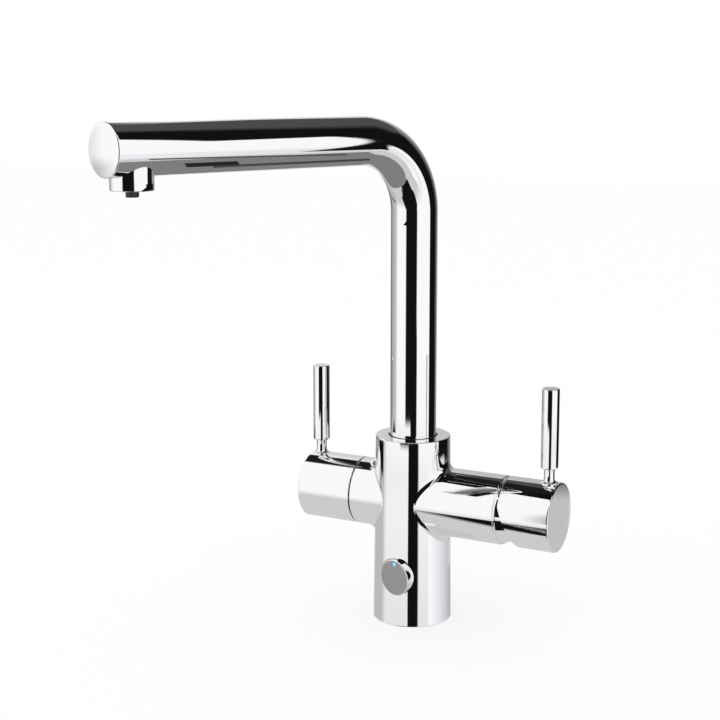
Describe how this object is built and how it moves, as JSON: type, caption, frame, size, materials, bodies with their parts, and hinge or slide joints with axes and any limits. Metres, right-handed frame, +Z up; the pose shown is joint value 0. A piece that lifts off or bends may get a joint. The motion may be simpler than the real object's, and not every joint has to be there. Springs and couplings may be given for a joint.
{
  "type": "boiling water tap",
  "caption": "Chrome kitchen tap for mixed, filtered and boiling water: swivel L-spout, single-lever mixer, quarter-turn filter lever and lit push button.",
  "frame": {"origin": "centre of the body's foot, on the worktop, at the mouth of the fixing stud's hole", "axes": "+Z up out of the worktop, -Y to the front where the button is, +X along the mixer arm, -X along the filter arm"},
  "size_m": [0.2075, 0.2626, 0.351],
  "materials": {
    "chromed_brass": "polished chrome on brass",
    "chromed_steel": "polished chrome on steel",
    "chromed_plastic": "polished chrome",
    "grey_plate": "satin grey",
    "blue_light": "clear blue, lit",
    "raw_brass": "turned",
    "ceramic_disc": "lapped",
    "black_rubber": "moulded",
    "steel": "bright zinc",
    "white_plastic": "moulded",
    "black_plastic": "moulded"
  },
  "bodies": {
    "tap_body": {"body_casting": "chromed_brass", "base_seal_ring": "black_rubber", "spout_stop_screw": "steel", "spout_glide_washer": "white_plastic", "spout_glide_bush": "black_plastic", "mixer_base_seal": "black_rubber", "mixer_cartridge_base": "black_plastic", "mixer_fixed_disc": "ceramic_disc", "mixer_cartridge_housing": "black_plastic", "mixer_retaining_nut": "raw_brass", "mixer_dome_cover": "chromed_brass", "filter_valve_seal": "black_rubber", "filter_fixed_disc": "ceramic_disc", "filter_valve_housing": "raw_brass", "switch_module": "black_plastic", "switch_seal_ring": "black_rubber"},
    "spout": {"spout_tube": "chromed_steel", "spout_end_cap": "chromed_steel", "spout_spigot": "raw_brass", "spout_o_rings": "black_rubber", "nozzle_collar": "chromed_steel", "flow_straightener": "white_plastic", "nozzle_insert": "black_plastic", "hot_water_tube": "steel", "hot_tube_o_ring": "black_rubber"},
    "mixer_carrier": {"mixer_turret": "white_plastic", "mixer_pivot_pin": "steel", "mixer_turret_o_ring": "black_rubber"},
    "mixer_disc": {"mixer_moving_disc": "ceramic_disc", "mixer_disc_carrier": "white_plastic"},
    "mixer_handle": {"mixer_spindle": "raw_brass", "mixer_hub": "chromed_brass", "mixer_lever_neck": "chromed_steel", "mixer_lever_grip": "chromed_brass", "mixer_grub_screw": "steel"},
    "filter_handle": {"filter_spindle": "raw_brass", "filter_spindle_o_ring": "black_rubber", "filter_moving_disc": "ceramic_disc", "filter_spindle_clip": "steel", "filter_hub": "chromed_brass", "filter_lever_neck": "chromed_steel", "filter_lever_grip": "chromed_brass", "filter_grub_screw": "steel"},
    "button": {"button_cap": "chromed_plastic", "button_face_plate": "grey_plate", "button_light_guide": "blue_light", "button_plunger": "black_plastic"}
  },
  "joints": [
    {"name": "spout_swivel", "type": "hinge", "parent": "tap_body", "child": "spout", "pos_m": [0, 0, 0.115], "axis": [0, 0, 1], "range_deg": [-49.8, 90.2]},
    {"name": "mixer_turn", "type": "hinge", "parent": "tap_body", "child": "mixer_carrier", "pos_m": [0.0685, 0, 0.0855], "axis": [1, 0, 0], "range_deg": [-45, 45]},
    {"name": "mixer_tilt", "type": "hinge", "parent": "mixer_carrier", "child": "mixer_handle", "pos_m": [0.0685, 0, 0.0855], "axis": [0, 1, 0], "range_deg": [0, 22]},
    {"name": "mixer_disc_slide", "type": "slide", "parent": "mixer_carrier", "child": "mixer_disc", "axis": [0, 0, 1], "range_m": [0, 0.0052]},
    {"name": "filter_turn", "type": "hinge", "parent": "tap_body", "child": "filter_handle", "pos_m": [-0.06, 0, 0.0855], "axis": [1, 0, 0], "range_deg": [0, 90]},
    {"name": "button_press", "type": "slide", "parent": "tap_body", "child": "button", "axis": [0, 1, 0], "range_m": [0, 0.0015], "stiffness_N_per_m": 400, "springref_m": -0.002}
  ],
  "couplings": [
    {"joint": "mixer_disc_slide", "follows": "mixer_tilt", "m_per_rad": 0.01317}
  ]
}
